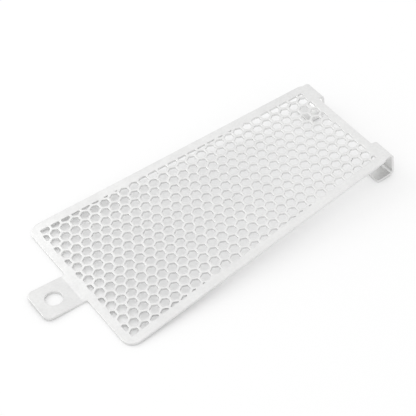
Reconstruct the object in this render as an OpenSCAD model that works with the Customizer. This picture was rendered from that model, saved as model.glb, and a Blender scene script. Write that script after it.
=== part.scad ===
// Radiator guard for a motorcycle, cut and folded from one flat sheet.
// The panel is a long trapezoid with a honeycomb of hexagonal openings inside a plain border.
// A round-cornered tab with one bolt hole stands out of the wide end, bent a little to the front.
// Two hooks at the narrow end fold down and back under the panel, to hold the radiator's edge.
// +X runs from the tab to the hooks and +Z out of the front face.
// The origin is under the middle of the guard, level with the underside of the hooks.

/* [Sheet] */
// Thickness of the sheet
sheet_t = 2; // [1:0.1:3]
// Inside radius of the hooks' folds
fold_r = 2; // [1:0.25:3]

/* [Panel] */
// Length of the panel, without tab and hooks
panel_l = 237.5; // [190:0.5:300]
// Width of the panel at the tab end
wide_w = 136.5; // [110:0.5:170]
// Width of the panel at the hook end
narrow_w = 101.5; // [80:0.5:125]
// Radius of the two corners at the tab end
wide_corner_r = 9; // [4:0.5:14]
// Radius of the two corners at the hook end
narrow_corner_r = 5; // [2:0.5:8]

/* [Honeycomb] */
// Opening of a cell across its flats
cell_af = 6.6; // [5:0.1:10]
// Width of the bar between two cells
web = 1.9; // [1:0.1:3]
// Plain border left at the two ends of the honeycomb
border = 6.1; // [4:0.1:12]
// Plain border left along the two long edges
side_border = 7.1; // [4:0.1:12]
// Smallest cut-off cell that is still opened, as an area in square mm
least_open = 1.2; // [0.5:0.1:6]

/* [Tab] */
// Length of the tab from the panel's edge, along the sheet
tab_l = 32; // [29:0.5:45]
// Width of the tab
tab_w = 29.5; // [22:0.5:50]
// Angle by which the tab is bent to the front
tab_rise = 8; // [1:0.5:12]
// Length of the tab that is level with the panel, up to its bend
tab_flat = 3; // [2:0.5:5]
// Radius of the tab's two outer corners
tab_corner_r = 5.5; // [2:0.5:9]
// Radius in the two corners where the tab leaves the panel
tab_root_r = 1.5; // [0.5:0.5:5]
// Diameter of the bolt hole
hole_d = 13; // [6:0.5:14]
// Distance of the hole's centre from the tab's tip
hole_from_tip = 14.3; // [10:0.1:15]

/* [Hooks] */
// Width of each hook
hook_w = 18; // [10:0.5:30]
// Distance of each hook's outer side from the panel's long edge, along the hook end
hook_inset = 1.3; // [0:0.1:6]
// How far the hooks stand out past the panel's edge
hook_out = 5.6; // [5:0.1:12]
// Height of the hooks over all, from the panel's front face to the underside of the lips
hook_h = 21; // [14:0.5:32]
// Length of each lip, from the back of the hook to the free edge
lip_l = 15.5; // [10:0.5:24]
// Radius of the two free corners of a lip
lip_corner_r = 2; // [0.5:0.25:4]
// Radius in the inner corner where a hook leaves the panel
hook_root_r = 1.5; // [0.5:0.25:4]

/* [Hidden] */
$fn = 96;

// The tab past its bend, and how far the whole tab reaches out from the panel
tab_plate_l = tab_l - tab_flat;
tab_reach = tab_flat + tab_plate_l * cos(tab_rise) + sheet_t * sin(tab_rise);

// The whole guard is centred on its length and stands on z = 0
wide_x = (tab_reach - panel_l - hook_out) / 2;
bend_x = wide_x - tab_flat;
narrow_x = wide_x + panel_l;
back_x = narrow_x + hook_out;
front_z = hook_h;

// The long edges lean in by this angle, and point outward along edge_n
taper = atan((wide_w - narrow_w) / 2 / panel_l);
edge_n = [sin(taper), cos(taper)];
mirror_n = [edge_n.x, -edge_n.y];

// Outside radius of the hooks' folds, and the middle of each hook
fold_out = fold_r + sheet_t;
hook_y = narrow_w / 2 - hook_inset - hook_w / 2;

// The inner corners beside tab and hooks end where the bend or fold starts
hook_corner_r = min(hook_root_r, hook_out - fold_out);
tab_inner_r = min(tab_root_r, tab_flat);

// Shapes that make one outline together are drawn this far into each other
join = 0.5;

// Centres of the corner arcs, each touching its short edge and the leaning long edge
wide_c = [wide_x + wide_corner_r, wide_w / 2 - wide_corner_r * (1 + edge_n.x) / edge_n.y];
narrow_c = [narrow_x - narrow_corner_r,
            narrow_w / 2 - narrow_corner_r * (1 - edge_n.x) / edge_n.y];

// Honeycomb: flats face along the guard, so a row's step is pitch / 2 * sqrt(3)
pitch = cell_af + web;
cell_r = cell_af / sqrt(3);
row_step = pitch * sqrt(3) / 2;
rows = ceil(wide_w / 2 / row_step);
columns = ceil((panel_l - 2 * border) / pitch);
field_x = wide_x + border;

// The field's four sides, each as an outward direction and its distance from the origin
edge_d = edge_n * [wide_x, wide_w / 2] - side_border;
field_sides = [
    [[-1, 0], -field_x],
    [[1, 0], narrow_x - border],
    [edge_n, edge_d],
    [mirror_n, edge_d],
];

// A corner that lies this close to a side counts as on it
on_side = 0.06;

function mirrored(p) = [p.x, -p.y];
function backwards(list) = [for (i = [len(list) - 1:-1:0]) list[i]];

// Corners of one cell, with points up and down
function cell(c) = [for (a = [30:60:330]) c + cell_r * [cos(a), sin(a)]];

// What is left of a convex outline inside one side of the field
function cut(points, side) = [
    for (i = [0:len(points) - 1])
        let (
            a = points[i],
            b = points[(i + 1) % len(points)],
            in_a = side[1] - side[0] * a,
            in_b = side[1] - side[0] * b
        )
        each concat(
            in_a > -on_side ? [a] : [],
            min(in_a, in_b) < -on_side && max(in_a, in_b) > on_side
                ? [a + (b - a) * in_a / (in_a - in_b)] : []
        )
];

function cut_all(points, i = 0) =
    i == len(field_sides) || len(points) < 3 ? points : cut_all(cut(points, field_sides[i]), i + 1);

function area(points) = len(points) < 3 ? 0 : abs([
    for (i = [0:len(points) - 1])
        let (a = points[i], b = points[(i + 1) % len(points)])
        (a.x * b.y - a.y * b.x) / 2
] * [for (i = [0:len(points) - 1]) 1]);

// Every opening of the honeycomb, cut off by the border, without slivers too small to cut
openings = [
    for (row = [-rows:rows], column = [0:columns])
        let (
            x = field_x + pitch * (column + (row % 2 == 0 ? 0.5 : 0)),
            points = cut_all(cell([x, row * row_step]))
        )
        if (area(points) >= least_open) points
];

// Fills the inner corner at [0, 0] between two edges along +X and +Y with a hollow arc
module inner_corner(r) {
    difference() {
        translate([-join, -join]) square(r + join);
        translate([r, r]) circle(r);
    }
}

// Flat outline of the panel, with its four round corners
module panel_outline() {
    top = [
        [wide_x, wide_c.y],
        wide_c,
        wide_c + wide_corner_r * edge_n,
        narrow_c + narrow_corner_r * edge_n,
        narrow_c,
        [narrow_x, narrow_c.y],
    ];
    polygon(concat(top, backwards([for (p = top) mirrored(p)])));
    for (s = [-1, 1]) {
        translate([wide_c.x, s * wide_c.y]) circle(wide_corner_r);
        translate([narrow_c.x, s * narrow_c.y]) circle(narrow_corner_r);
    }
}

// The flat start of the tab, up to its bend
module tab_root() {
    for (s = [0, 1]) mirror([0, s]) {
        translate([bend_x, 0]) square([tab_flat + border / 2, tab_w / 2]);
        translate([wide_x, tab_w / 2]) mirror([1, 0]) inner_corner(tab_inner_r);
    }
}

// The flat start of each hook, up to its first fold
module hook_roots() {
    for (s = [0, 1]) mirror([0, s]) {
        translate([narrow_x - narrow_corner_r, hook_y - hook_w / 2])
            square([narrow_corner_r + hook_out - fold_out, hook_w]);
        translate([narrow_x, hook_y - hook_w / 2]) mirror([0, 1]) inner_corner(hook_corner_r);
    }
}

// The panel with the flat starts of the tab and the hooks, and the honeycomb cut through it
module flat_sheet() {
    translate([0, 0, front_z - sheet_t])
        linear_extrude(sheet_t)
            difference() {
                union() {
                    panel_outline();
                    tab_root();
                    hook_roots();
                }
                for (points = openings) polygon(points);
            }
}

// Outline of a strip from x = 0 to its free end at x = -l, with two round corners there
module free_strip(l, w, r) {
    translate([r - l, -w / 2]) square([l - r, w]);
    translate([-l, r - w / 2]) square([r + join, w - 2 * r]);
    for (s = [-1, 1])
        translate([r - l, s * (w / 2 - r)]) circle(r);
}

// The tab past its flat start, with its bend at x = 0 and its front face at z = 0 there:
// its side view drawn out across it, trimmed to its round-cornered plan, with the bolt hole
// square through the bent plate
module tab_plate() {
    far = (tab_plate_l + sheet_t) * [-cos(tab_rise), sin(tab_rise)];
    bend_back = [-sheet_t * tan(tab_rise / 2), -sheet_t];
    difference() {
        intersection() {
            translate([0, tab_w / 2 + join, 0]) rotate([90, 0, 0])
                linear_extrude(tab_w + 2 * join)
                    polygon([[0, 0], [0, -sheet_t], bend_back, bend_back + far, far]);
            translate([join, 0, -sheet_t - join])
                linear_extrude(sheet_t + 2 * join + far.y)
                    free_strip(tab_reach - tab_flat + join, tab_w, tab_corner_r);
        }
        rotate([0, tab_rise, 0])
            translate([hole_from_tip - tab_plate_l, 0, -sheet_t - join])
                cylinder(h = sheet_t + 2 * join, d = hole_d);
    }
}

// A quarter-round fold as wide as a hook, from flat at the top to upright at the back
module fold() {
    rotate([90, 0, 0])
        rotate_extrude(angle = 90)
            translate([fold_r, -hook_w / 2]) square([sheet_t, hook_w]);
}

// One hook past its flat start: fold down, back wall, fold under, and a lip under the panel
module hook() {
    translate([back_x, hook_y, 0]) {
        translate([-fold_out, 0, front_z - fold_out]) fold();
        translate([-sheet_t, -hook_w / 2, fold_out])
            cube([sheet_t, hook_w, hook_h - 2 * fold_out]);
        translate([-fold_out, 0, fold_out]) mirror([0, 0, 1]) fold();
        translate([-fold_out, 0, 0])
            linear_extrude(sheet_t) free_strip(lip_l - fold_out, hook_w, lip_corner_r);
    }
}

module guard_sheet() {
    color("gainsboro") {
        flat_sheet();
        translate([bend_x, 0, front_z]) tab_plate();
        hook();
        mirror([0, 1, 0]) hook();
    }
}

guard_sheet();
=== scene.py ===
# Radiator guard for a motorcycle: one aluminium sheet, cut, folded and blasted to a satin finish
import math

import bpy
from mathutils import Matrix, Vector
from mathutils.geometry import delaunay_2d_cdt


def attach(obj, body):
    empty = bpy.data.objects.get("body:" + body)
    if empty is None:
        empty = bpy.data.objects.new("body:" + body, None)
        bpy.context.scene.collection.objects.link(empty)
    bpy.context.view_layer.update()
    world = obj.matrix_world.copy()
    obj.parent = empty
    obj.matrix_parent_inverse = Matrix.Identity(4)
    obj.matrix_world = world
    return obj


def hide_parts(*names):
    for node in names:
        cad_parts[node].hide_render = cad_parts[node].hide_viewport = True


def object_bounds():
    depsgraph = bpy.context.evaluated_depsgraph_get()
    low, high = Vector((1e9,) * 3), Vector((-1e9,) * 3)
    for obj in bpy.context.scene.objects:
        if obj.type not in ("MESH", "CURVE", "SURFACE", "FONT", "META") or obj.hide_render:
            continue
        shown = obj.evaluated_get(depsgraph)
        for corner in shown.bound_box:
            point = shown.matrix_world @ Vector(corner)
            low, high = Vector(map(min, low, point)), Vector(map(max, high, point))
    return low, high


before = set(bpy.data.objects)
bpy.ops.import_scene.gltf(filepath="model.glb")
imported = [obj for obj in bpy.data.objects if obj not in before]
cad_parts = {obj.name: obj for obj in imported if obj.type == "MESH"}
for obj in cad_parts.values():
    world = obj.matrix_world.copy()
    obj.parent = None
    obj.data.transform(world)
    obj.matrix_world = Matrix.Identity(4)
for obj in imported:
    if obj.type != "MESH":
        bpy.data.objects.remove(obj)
cad_low, cad_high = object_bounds()


# The guard is one sheet of 2 mm aluminium. Its outline, honeycomb and bolt hole are cut from the
# flat sheet, and every rim is broken. Then the tab is bent up a little and the hooks are folded
# under. It is drawn in that order, in mm: the flat blank, and then each point round the folds.
MM = 0.001
SHEET = 2.0
FOLD_R = 2.0
HALF = SHEET / 2
RIGHT_ANGLE = math.pi / 2

# Seen from the side, along the middle of the sheet
HOOK_H = 21.0
HOOK_OUT = 5.6
LIP_L = 15.5
PANEL_L = 237.5
TAB_L = 32.0
TAB_FLAT = 3.0
TAB_RISE = math.radians(8)
middle_r = FOLD_R + HALF
fold_out = FOLD_R + SHEET
back_x = cad_high.x / MM
narrow_x = back_x - HOOK_OUT
wide_x = narrow_x - PANEL_L
fold_x = back_x - fold_out
bend_shift = HALF * math.tan(TAB_RISE / 2)
bend_cut = middle_r * math.tan(TAB_RISE / 2)
flat_x = wide_x - TAB_FLAT - bend_shift + bend_cut
plate_l = TAB_L - TAB_FLAT + bend_shift - bend_cut


def along(stretch, u):
    """Where the middle of the sheet is at length u, and how far it has turned down by there."""
    start, x, z, heading, bend = stretch
    turned = heading + bend * (u - start)
    if bend == 0:
        return x + (u - start) * math.cos(heading), z - (u - start) * math.sin(heading), turned
    return (x + (math.sin(turned) - math.sin(heading)) / bend,
            z + (math.cos(turned) - math.cos(heading)) / bend, turned)


def side_view(u, x, z, heading, lengths_and_turns):
    """The sheet's straight and round stretches from tab to lip, and the length at their end."""
    stretches = []
    for length, turn in lengths_and_turns:
        stretches.append((u, x, z, heading, turn / length))
        x, z, heading = along(stretches[-1], u + length)
        u += length
    return stretches, u


tip_u = flat_x - middle_r * TAB_RISE - plate_l
tip_rise = plate_l * math.sin(TAB_RISE) + middle_r * (1 - math.cos(TAB_RISE))
tip_x = flat_x - plate_l * math.cos(TAB_RISE) - middle_r * math.sin(TAB_RISE)
stretches, lip_u = side_view(tip_u, tip_x, HOOK_H - HALF + tip_rise, TAB_RISE, [
    (plate_l, 0),
    (middle_r * TAB_RISE, -TAB_RISE),
    (fold_x - flat_x, 0),
    (middle_r * RIGHT_ANGLE, RIGHT_ANGLE),
    (HOOK_H - 2 * fold_out, 0),
    (middle_r * RIGHT_ANGLE, RIGHT_ANGLE),
    (LIP_L - fold_out, 0),
])
HOOK_FOLDS = (3, 5)
ROUND_OFF = 1e-6


def carry(u, y, height, facing):
    """Takes a point of the flat blank, and the way it faces, round the folds."""
    stretch = [s for s in stretches if s[0] <= u + ROUND_OFF][-1]
    x, z, turned = along(stretch, u)
    c, s = math.cos(turned), math.sin(turned)
    place = Vector((x + height * s, y, z + height * c)) * MM
    ahead, across, up = facing
    return place, Vector((ahead * c + up * s, across, up * c - ahead * s))


# Lengths at which the blank gets a line across it, so that it can bend there
FOLD_STEPS = 8
BEND_STEPS = 2
tab_creases = [flat_x - middle_r * TAB_RISE * (1 - k / BEND_STEPS) for k in range(BEND_STEPS + 1)]
hook_creases = [stretches[n][0] + middle_r * RIGHT_ANGLE * k / FOLD_STEPS
                for n in HOOK_FOLDS for k in range(FOLD_STEPS + 1)]

# Outline of the blank: each point has its place and the direction in which its rim faces.
# The steps of a round rim lie no further than ROUNDNESS from the true arc.
WIDE_W = 136.5
NARROW_W = 101.5
WIDE_CORNER_R = 9.0
NARROW_CORNER_R = 5.0
TAB_W = 29.5
TAB_CORNER_R = 5.5
INNER_CORNER_R = 1.5
SHOULDER_R = 1.0
HOOK_W = 18.0
HOOK_INSET = 1.3
LIP_CORNER_R = 2.0
ROUNDNESS = 0.02


def arc(x, y, r, first, last):
    """Round stretch of a rim, which faces from angle first to last. A hollow one has r below 0."""
    longest_step = 2 * math.acos(1 - min(1, ROUNDNESS / abs(r)))
    steps = max(1, math.ceil(abs(last - first) / longest_step))
    angles = [first + (last - first) * k / steps for k in range(steps + 1)]
    return [(x + r * math.cos(a), y + r * math.sin(a), a) for a in angles]


taper = math.atan((WIDE_W - NARROW_W) / 2 / PANEL_L)
long_edge = RIGHT_ANGLE - taper
tab_y = TAB_W / 2
outer_y = NARROW_W / 2 - HOOK_INSET
inner_y = outer_y - HOOK_W
wide_y = WIDE_W / 2 - WIDE_CORNER_R * (1 + math.sin(taper)) / math.cos(taper)
narrow_y = NARROW_W / 2 - NARROW_CORNER_R * (1 - math.sin(taper)) / math.cos(taper)
shoulder = math.asin((outer_y + SHOULDER_R - narrow_y) / (NARROW_CORNER_R + SHOULDER_R))
shoulder_x = narrow_x - NARROW_CORNER_R + (NARROW_CORNER_R + SHOULDER_R) * math.cos(shoulder)

far_half = (
    arc(tip_u + TAB_CORNER_R, tab_y - TAB_CORNER_R, TAB_CORNER_R, math.pi, RIGHT_ANGLE)
    + [(u, tab_y, RIGHT_ANGLE) for u in tab_creases]
    + arc(wide_x - INNER_CORNER_R, tab_y + INNER_CORNER_R, -INNER_CORNER_R, RIGHT_ANGLE, math.pi)
    + arc(wide_x + WIDE_CORNER_R, wide_y, WIDE_CORNER_R, math.pi, long_edge)
    + arc(narrow_x - NARROW_CORNER_R, narrow_y, NARROW_CORNER_R, long_edge, shoulder)
    + arc(shoulder_x, outer_y + SHOULDER_R, -SHOULDER_R, shoulder, RIGHT_ANGLE)[1:]
    + [(u, outer_y, RIGHT_ANGLE) for u in hook_creases]
    + arc(lip_u - LIP_CORNER_R, outer_y - LIP_CORNER_R, LIP_CORNER_R, RIGHT_ANGLE, 0)
    + arc(lip_u - LIP_CORNER_R, inner_y + LIP_CORNER_R, LIP_CORNER_R, 0, -RIGHT_ANGLE)
    + [(u, inner_y, -RIGHT_ANGLE) for u in reversed(hook_creases)]
    + arc(narrow_x + INNER_CORNER_R, inner_y - INNER_CORNER_R, -INNER_CORNER_R, -RIGHT_ANGLE, 0)
)
near_half = [(u, -y, -a) for u, y, a in reversed(far_half)]
outline = list(reversed(far_half + near_half))

# Honeycomb: six-sided openings with slightly round corners, cut off by the plain border.
# A corner closer than ON_SIDE to the border counts as on it. The round of a corner takes up
# no more than CORNER_SHARE of a side.
CELL = 6.6
WEB = 1.9
END_BORDER = 6.1
SIDE_BORDER = 7.1
LEAST_OPEN = 1.2
ON_SIDE = 0.06
CELL_CORNER_R = 0.9
CORNER_SHARE = 0.45
pitch = CELL + WEB
row_step = pitch * math.sqrt(3) / 2
field_x = wide_x + END_BORDER
side_reach = (wide_x * math.sin(taper) + WIDE_W / 2 * math.cos(taper)) - SIDE_BORDER
field_sides = [
    (Vector((-1, 0)), -field_x),
    (Vector((1, 0)), narrow_x - END_BORDER),
    (Vector((math.sin(taper), math.cos(taper))), side_reach),
    (Vector((math.sin(taper), -math.cos(taper))), side_reach),
]


def inside(corners, way, reach):
    """What is left of an opening on the inner side of one border."""
    kept = []
    for a, b in zip(corners, corners[1:] + corners[:1]):
        in_a, in_b = reach - way.dot(a), reach - way.dot(b)
        if in_a > -ON_SIDE:
            kept.append(a)
        if min(in_a, in_b) < -ON_SIDE and max(in_a, in_b) > ON_SIDE:
            kept.append(a + (b - a) * in_a / (in_a - in_b))
    return kept


def area(corners):
    return sum(a.cross(b) for a, b in zip(corners, corners[1:] + corners[:1])) / 2


def rounded(corners, r):
    """Rim of an opening with its corners rounded, facing into the opening."""
    rim = []
    befores, afters = corners[-1:] + corners[:-1], corners[1:] + corners[:1]
    for before, corner, after in zip(befores, corners, afters):
        way_in, way_out = (corner - before).normalized(), (after - corner).normalized()
        inward = Vector((-way_in.y, way_in.x))
        turn = math.acos(max(-1, min(1, way_in.dot(way_out))))
        room = CORNER_SHARE * min((corner - before).length, (after - corner).length)
        corner_r = min(r, room / math.tan(turn / 2))
        centre = corner - way_in * corner_r * math.tan(turn / 2) + inward * corner_r
        first = math.atan2(-way_in.x, way_in.y)
        corner_arc = arc(centre.x, centre.y, corner_r, first, first + turn)
        rim += [(x, y, a + math.pi) for x, y, a in corner_arc]
    return rim[::-1]


# Each rim is kept with how far its sharp edges are broken
EDGE_BREAK = 0.3
rims = [(outline, EDGE_BREAK)]
cell_corners = [CELL / math.sqrt(3) * Vector((math.cos(a), math.sin(a)))
                for a in [math.radians(30 + 60 * k) for k in range(6)]]
rows = math.ceil(WIDE_W / 2 / row_step)
columns = math.ceil((PANEL_L - 2 * END_BORDER) / pitch)
for row in range(-rows, rows + 1):
    for column in range(columns + 1):
        stagger = 0.5 if row % 2 == 0 else 0
        middle = Vector((field_x + pitch * (column + stagger), row * row_step))
        corners = [middle + corner for corner in cell_corners]
        for way, reach in field_sides:
            corners = inside(corners, way, reach)
        if len(corners) > 2 and area(corners) >= LEAST_OPEN:
            rims.append((rounded(corners, CELL_CORNER_R), EDGE_BREAK))

# The bolt hole goes through the middle of the tab. Its edges are broken less than the other rims.
HOLE_D = 13.0
HOLE_FROM_TIP = 14.3
HOLE_BREAK = 0.12
HOLE_STEPS = 48
hole_r = HOLE_D / 2
hole_u = tip_u + HOLE_FROM_TIP
hole_angles = [-2 * math.pi * k / HOLE_STEPS for k in range(HOLE_STEPS)]
hole = [(hole_u + hole_r * math.cos(a), hole_r * math.sin(a), a + math.pi) for a in hole_angles]
rims.append((hole, HOLE_BREAK))

# A rim goes from the front face round its broken edge, through the sheet, and round to the back
# face. Each ring of points has the angle by which it has turned out from straight up.
BREAK_STEPS = 2
front_leans = [RIGHT_ANGLE * k / BREAK_STEPS for k in range(BREAK_STEPS + 1)]
leans = front_leans + [math.pi - lean for lean in reversed(front_leans)]
rim_points = [(*point, edge) for rim, edge in rims for point in rim]
count = len(rim_points)
places, facings, flat_places = [], [], []
for ring, lean in enumerate(leans):
    side = 1 if ring <= BREAK_STEPS else -1
    outward, upward = math.sin(lean), math.cos(lean)
    for u, y, a, edge in rim_points:
        c, s = math.cos(a), math.sin(a)
        inset = edge * (1 - outward)
        height = side * (HALF - edge * (1 - abs(upward)))
        flat_places.append((u - inset * c, y - inset * s, height))
        place, facing = carry(*flat_places[-1], (outward * c, outward * s, upward))
        places.append(place)
        facings.append(facing)

# The two faces are filled between the rims, with a line across tab or hook at each crease
crease_ends = {}
for n, (u, y, a) in enumerate(outline):
    on_tab = u in tab_creases and abs(y) == tab_y
    on_hook = u in hook_creases and abs(y) in (outer_y, inner_y)
    if on_tab or on_hook:
        crease_ends.setdefault((u, on_hook and y > 0), []).append(n)
loops, start = [], 0
for rim, edge in rims:
    loops.append(list(range(start, start + len(rim))))
    start += len(rim)
INSIDE_ONLY = 1
CLOSEST = 1e-7
blank = [Vector((u, y)) for u, y, height in flat_places[:count]]
borders = [loops[0]] + [loop[::-1] for loop in loops[1:]]
_, _, triangles, points_used, _, faces_used = delaunay_2d_cdt(
    blank, list(crease_ends.values()), borders, INSIDE_ONLY, CLOSEST, True)
front = [tuple(points_used[n][0] for n in face)
         for face, within in zip(triangles, faces_used) if within == [0]]
last_ring = (len(leans) - 1) * count
back = [tuple(n + last_ring for n in reversed(face)) for face in front]
walls = [(ring * count + a, (ring + 1) * count + a, (ring + 1) * count + b, ring * count + b)
         for ring in range(len(leans) - 1)
         for loop in loops for a, b in zip(loop, loop[1:] + loop[:1])]

sheet_mesh = bpy.data.meshes.new("guard")
sheet_mesh.from_pydata(places, [], front + back + walls)
sheet_mesh.polygons.foreach_set("use_smooth", [True] * len(sheet_mesh.polygons))
sheet_mesh.normals_split_custom_set_from_vertices(facings)
guard = bpy.data.objects.new("guard", sheet_mesh)
bpy.context.scene.collection.objects.link(guard)
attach(guard, "root")
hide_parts("guard_sheet")

# Two things are noted at each point for the finishes: where it was in the flat blank, and how
# far its rim is broken there
in_blank = [value * MM for flat_place in flat_places for value in flat_place]
sheet_mesh.attributes.new("blank", "FLOAT_VECTOR", "POINT").data.foreach_set("vector", in_blank)
broken = [math.sin(lean) for lean in leans for point in rim_points]
sheet_mesh.attributes.new("rim", "FLOAT", "POINT").data.foreach_set("value", broken)


# The faces and the folds are bare aluminium, blasted with fine beads to an even satin and left
# clear. It is almost white, with a fine grain, and faintly uneven where the beads struck longer.
# The grain is coarser where the folds stretched the sheet, and the broken rims are a bit lighter.
class Socket:
    """One output of a shader node. Sums and products of it add Math nodes."""

    def __init__(self, tree, output=None):
        self.tree = tree
        self.output = output

    def feed(self, node, sockets):
        for name, value in sockets.items():
            if isinstance(value, Socket):
                self.tree.links.new(value.output, node.inputs[name])
            else:
                node.inputs[name].default_value = value

    def node(self, kind, settings, sockets, output=0):
        """Adds any other node: its type, its settings, and the values or links of its sockets."""
        made = self.tree.nodes.new(kind)
        for name, value in settings.items():
            setattr(made, name, value)
        self.feed(made, sockets)
        return Socket(self.tree, made.outputs[output])

    def math(self, operation, a, b):
        return self.node("ShaderNodeMath", {"operation": operation}, {0: a, 1: b})

    def __add__(self, other):
        return self.math("ADD", self, other)

    def __radd__(self, other):
        return self.math("ADD", other, self)

    def __mul__(self, other):
        return self.math("MULTIPLY", self, other)

    def __rmul__(self, other):
        return self.math("MULTIPLY", other, self)

    def __rsub__(self, other):
        return self.math("SUBTRACT", other, self)

    def grain(self, size, depth):
        """Unevenness of a given grain size in mm, about 0.5, at this place on the surface."""
        sockets = {"Vector": self, "Scale": 1 / (size * MM), "Detail": depth}
        return self.node("ShaderNodeTexNoise", {}, sockets)

    def between(self, low, high):
        """Rises softly from 0 to 1 as this goes from low to high."""
        limits = {"Value": self, "From Min": low, "From Max": high}
        return self.node("ShaderNodeMapRange", {"interpolation_type": "SMOOTHSTEP"}, limits)

    def blend(self, colour, other):
        """Goes from one colour to the other as this goes from 0 to 1."""
        colours = {0: self, 6: (*colour, 1), 7: (*other, 1)}
        return self.node("ShaderNodeMix", {"data_type": "RGBA"}, colours, 2)

    def relief(self, strength, depth):
        """Bumps of up to a depth in mm, higher where this is higher."""
        sockets = {"Strength": strength, "Distance": depth * MM, "Height": self}
        return self.node("ShaderNodeBump", {}, sockets, "Normal")


# Sizes of the unevenness in mm, from single beads to a slow change along the sheet
BEAD_GRAIN = 0.3
BEAD_SPREAD = 1.1
BEAD_DEPTH = 0.06
FOLD_GRAIN = 0.7
FOLD_EDGE = 0.6
SPECK = 1.7
PATCH = 9.0
DRIFT = 70.0
# Levels of it between which the tone goes from one end to the other
CLOUDY = (0.3, 0.7)
DRIFTING = (0.35, 0.65)
WORN = (0.9, 1.4)
# Tones, roughness and relief of the satin
SATIN_DARK = (0.753, 0.753, 0.75)
SATIN_LIGHT = (0.846, 0.846, 0.84)
SATIN_ROUGHNESS = 0.29
SATIN_RELIEF = 0.5
satin = bpy.data.materials.new("satin_aluminium")
satin.use_nodes = True
tree = Socket(satin.node_tree)
place = tree.node("ShaderNodeTexCoord", {}, {}, "Object")
blank_place = tree.node("ShaderNodeAttribute", {"attribute_name": "blank"}, {}, "Vector")
blank_u = tree.node("ShaderNodeSeparateXYZ", {}, {0: blank_place}, "X")
rim_wear = tree.node("ShaderNodeAttribute", {"attribute_name": "rim"}, {}, "Fac")


def in_fold(n):
    """1 where the blank was stretched in one fold of the hooks, and 0 elsewhere."""
    start_u, end_u = stretches[n][0], stretches[n + 1][0]
    into = blank_u.between((start_u - FOLD_EDGE) * MM, (start_u + FOLD_EDGE) * MM)
    out = blank_u.between((end_u - FOLD_EDGE) * MM, (end_u + FOLD_EDGE) * MM)
    return into * (1 - out)


fine = place.grain(BEAD_GRAIN, 2)
spread = place.grain(BEAD_SPREAD, 2)
specks = place.grain(SPECK, 2).between(*CLOUDY)
patches = place.grain(PATCH, 3).between(*CLOUDY)
drift = place.grain(DRIFT, 1).between(*DRIFTING)
folded = in_fold(HOOK_FOLDS[0]) + in_fold(HOOK_FOLDS[1])
wear = (rim_wear + 0.5 * spread).between(*WORN)
shade = 0.3 * drift + 0.25 * patches + 0.45 * specks
base = (0.2 * wear + 0.9 * shade).blend(SATIN_DARK, SATIN_LIGHT)
height = 0.6 * fine + 0.4 * spread + 0.8 * (folded * place.grain(FOLD_GRAIN, 2))
roughness = SATIN_ROUGHNESS + 0.06 * fine + 0.06 * patches + 0.08 * wear
tree.feed(satin.node_tree.nodes["Principled BSDF"], {
    "Base Color": base, "Metallic": 1.0, "Roughness": roughness,
    "Normal": height.relief(SATIN_RELIEF, BEAD_DEPTH)})
sheet_mesh.materials.append(satin)


# The cut walls show the fine upright lines that the cutting left, blasted over with the same
# beads. They are a little rougher than the faces, and more even in tone.
CUT_LINE = 0.22
LINE_STRETCH = 0.12
CUT_DARK = (0.77, 0.77, 0.767)
CUT_LIGHT = (0.83, 0.83, 0.825)
CUT_ROUGHNESS = 0.4
CUT_RELIEF = 0.4
cut_metal = bpy.data.materials.new("cut_aluminium")
cut_metal.use_nodes = True
tree = Socket(cut_metal.node_tree)
place = tree.node("ShaderNodeTexCoord", {}, {}, "Object")
blank_place = tree.node("ShaderNodeAttribute", {"attribute_name": "blank"}, {}, "Vector")
upright = tree.node("ShaderNodeVectorMath", {"operation": "MULTIPLY"},
                    {0: blank_place, 1: (1, 1, LINE_STRETCH)})
lines = upright.grain(CUT_LINE, 2).between(*CLOUDY)
fine = place.grain(BEAD_GRAIN, 2)
patches = place.grain(PATCH, 3).between(*CLOUDY)
base = (0.5 * lines + 0.5 * patches).blend(CUT_DARK, CUT_LIGHT)
tree.feed(cut_metal.node_tree.nodes["Principled BSDF"], {
    "Base Color": base, "Metallic": 1.0, "Roughness": CUT_ROUGHNESS + 0.1 * lines,
    "Normal": (lines + 0.5 * fine).relief(CUT_RELIEF, BEAD_DEPTH)})
sheet_mesh.materials.append(cut_metal)
first_upright = len(front) + len(back) + BREAK_STEPS * count
for n in range(first_upright, first_upright + count):
    sheet_mesh.polygons[n].material_index = 1


# The guard lies on a plain white table: on the edge of its wide end and on the free edges of its
# lips, so the table leans to it by a few degrees in the guard's own frame. It shows as white
# paper, and takes the guard's shadow, deepened by painted shade where little open air reaches.
TABLE_SIZE = 6
TABLE_GAP = 0.05
wide_end = Vector((wide_x, 0, HOOK_H - SHEET)) * MM
lip_edge = Vector((back_x - LIP_L, 0, 0)) * MM
slope = (lip_edge - wide_end).normalized()
table_normal = Vector((-slope.z, 0, slope.x))
bpy.ops.mesh.primitive_plane_add(size=TABLE_SIZE)
table = bpy.context.object
table.name = "table"
table.rotation_mode = "QUATERNION"
table.rotation_quaternion = table_normal.to_track_quat("Z", "Y")
table.location = wide_end - TABLE_GAP * MM * table_normal

# The paper's glow makes it plain white in the open. Where the guard covers it, the glow is turned
# down, which paints shade under the guard, both to the camera and mirrored in the metal
PAPER_WHITE = (0.97, 0.97, 0.97, 1)
WHITE = (1, 1, 1, 1)
SHADE_REACH = 20.0
SHADE_RAYS = 8
OPENNESS = (0.4, 1.0)
PAPER_GLOW = 0.5
GLOW_IN_SHADE = 0.3
MIRRORED_IN_SHADE = 0.1
MIRRORED_IN_OPEN = 0.92


def ray_kinds(tree):
    """1 for a ray from the camera, off gloss, or through glass: one socket for each."""
    return [tree.node("ShaderNodeLightPath", {}, {}, kind)
            for kind in ("Is Camera Ray", "Is Glossy Ray", "Is Transmission Ray")]


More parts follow.
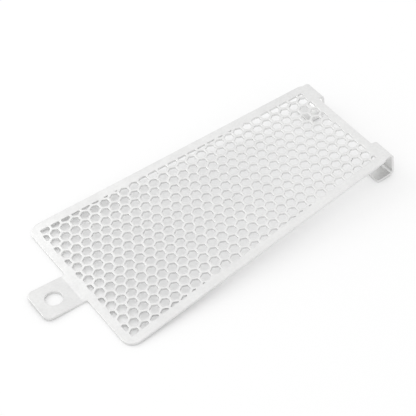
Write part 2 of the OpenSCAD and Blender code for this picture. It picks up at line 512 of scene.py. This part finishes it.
paper = bpy.data.materials.new("white_paper")
paper.use_nodes = True
tree = Socket(paper.node_tree)
camera_ray, glossy_ray, through_ray = ray_kinds(tree)
# Occlusion within SHADE_REACH turns the glow down: this is painted shade, darkest close under the
# guard
cover = tree.node("ShaderNodeAmbientOcclusion", {"samples": SHADE_RAYS},
                  {"Distance": SHADE_REACH * MM}, "AO")
open_air = cover.between(*OPENNESS)
seen_glow = PAPER_GLOW * (GLOW_IN_SHADE + (1 - GLOW_IN_SHADE) * open_air)
mirrored_glow = MIRRORED_IN_SHADE + (MIRRORED_IN_OPEN - MIRRORED_IN_SHADE) * open_air
glow = seen_glow * (camera_ray + through_ray) + mirrored_glow * glossy_ray
lit = tree.node("ShaderNodeBsdfDiffuse", {}, {"Color": PAPER_WHITE})
white = tree.node("ShaderNodeEmission", {}, {"Color": WHITE, "Strength": 1.0})
shown = tree.node("ShaderNodeMixShader", {}, {0: glow, 1: lit, 2: white})
paper.node_tree.nodes.remove(paper.node_tree.nodes["Principled BSDF"])
tree.feed(paper.node_tree.nodes["Material Output"], {"Surface": shown})
table.data.materials.append(paper)


# The light is an even room that shows as plain white, with one wide soft box behind the guard,
# to the left, which makes the tab's end of the metal lighter.
ROOM_FILL = 0.95
world = bpy.data.worlds.new("room")
bpy.context.scene.world = world
world.use_nodes = True
tree = Socket(world.node_tree)
camera_ray, glossy_ray, through_ray = ray_kinds(tree)
seen = camera_ray + glossy_ray + through_ray
fill = tree.node("ShaderNodeBackground", {}, {"Color": WHITE, "Strength": ROOM_FILL})
white = tree.node("ShaderNodeBackground", {}, {"Color": WHITE, "Strength": 1.0})
room = tree.node("ShaderNodeMixShader", {}, {0: seen, 1: fill, 2: white})
tree.feed(world.node_tree.nodes["World Output"], {"Surface": room})

BOX_PLACE = Vector((-0.5, 1.25, 1.13))
BOX_SIZE = 1.0
BOX_WATTS = 5
lamp = bpy.data.lights.new("side_box", "AREA")
lamp.size = BOX_SIZE
lamp.energy = BOX_WATTS
side_box = bpy.data.objects.new("side_box", lamp)
bpy.context.scene.collection.objects.link(side_box)
side_box.location = BOX_PLACE
side_box.rotation_mode = "QUATERNION"
side_box.rotation_quaternion = (-BOX_PLACE).to_track_quat("-Z", "Y")


# The camera looks down on the guard from its near left, through a long lens, with a slight roll.
# It stands about a metre away.
camera_place = Vector((wide_x - 203.7, -607.4, 797.3)) * MM
LOOK = Vector((0.30464, 0.58549, -0.75127))
RIGHT = Vector((0.80934, -0.57498, -0.11991))
FOCAL_LENGTH = 125.5
SENSOR_WIDTH = 36
NEAREST = 0.05
lens = bpy.data.cameras.new("camera")
lens.lens = FOCAL_LENGTH
lens.sensor_width = SENSOR_WIDTH
lens.clip_start = NEAREST
camera = bpy.data.objects.new("camera", lens)
bpy.context.scene.collection.objects.link(camera)
aim = Matrix((RIGHT, RIGHT.cross(LOOK), -LOOK)).transposed().to_4x4()
camera.matrix_world = Matrix.Translation(camera_place) @ aim
bpy.context.scene.camera = camera
bpy.context.scene.view_settings.view_transform = "Standard"
